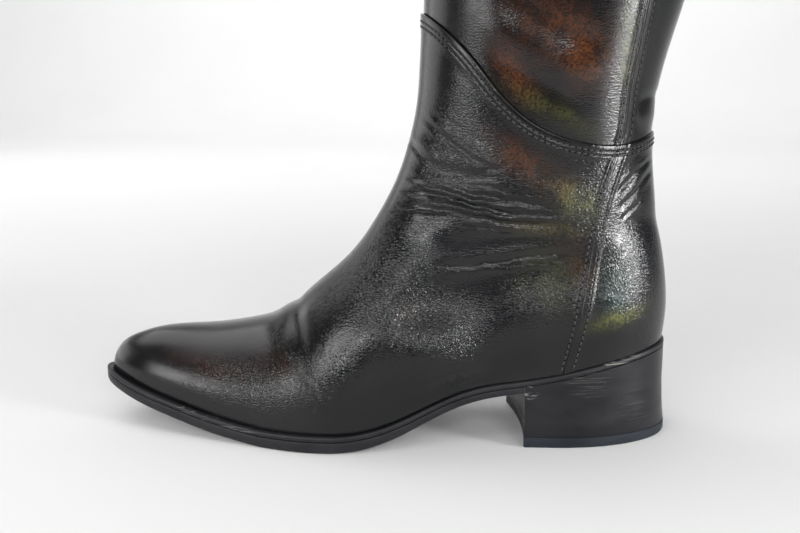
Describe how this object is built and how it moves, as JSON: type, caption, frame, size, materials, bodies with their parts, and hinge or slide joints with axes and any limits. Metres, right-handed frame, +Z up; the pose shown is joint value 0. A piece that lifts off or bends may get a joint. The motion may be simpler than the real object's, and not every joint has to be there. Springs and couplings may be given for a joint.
{
  "type": "knee-high boot",
  "caption": "Tall leather boot with an almond toe, welted sole, low block heel and a straight hollow leg, standing empty on its sole.",
  "frame": {"origin": "on the floor under the heel, in the middle plane of the leg", "axes": "+X from toe to heel, +Y towards the inner side of the foot, +Z up the leg"},
  "size_m": [0.292, 0.0994, 0.425],
  "materials": {
    "upper_leather": "polished",
    "shaft_leather": "polished",
    "insole_board": "matte",
    "welt": "satin",
    "outsole": "satin",
    "heel_block": "satin",
    "top_lift": "matte"
  },
  "bodies": {
    "root": {"top_lift": "top_lift", "heel": "heel_block", "outsole": "outsole", "welt": "welt", "insole": "insole_board", "upper": "upper_leather", "shaft": "shaft_leather"}
  },
  "joints": []
}
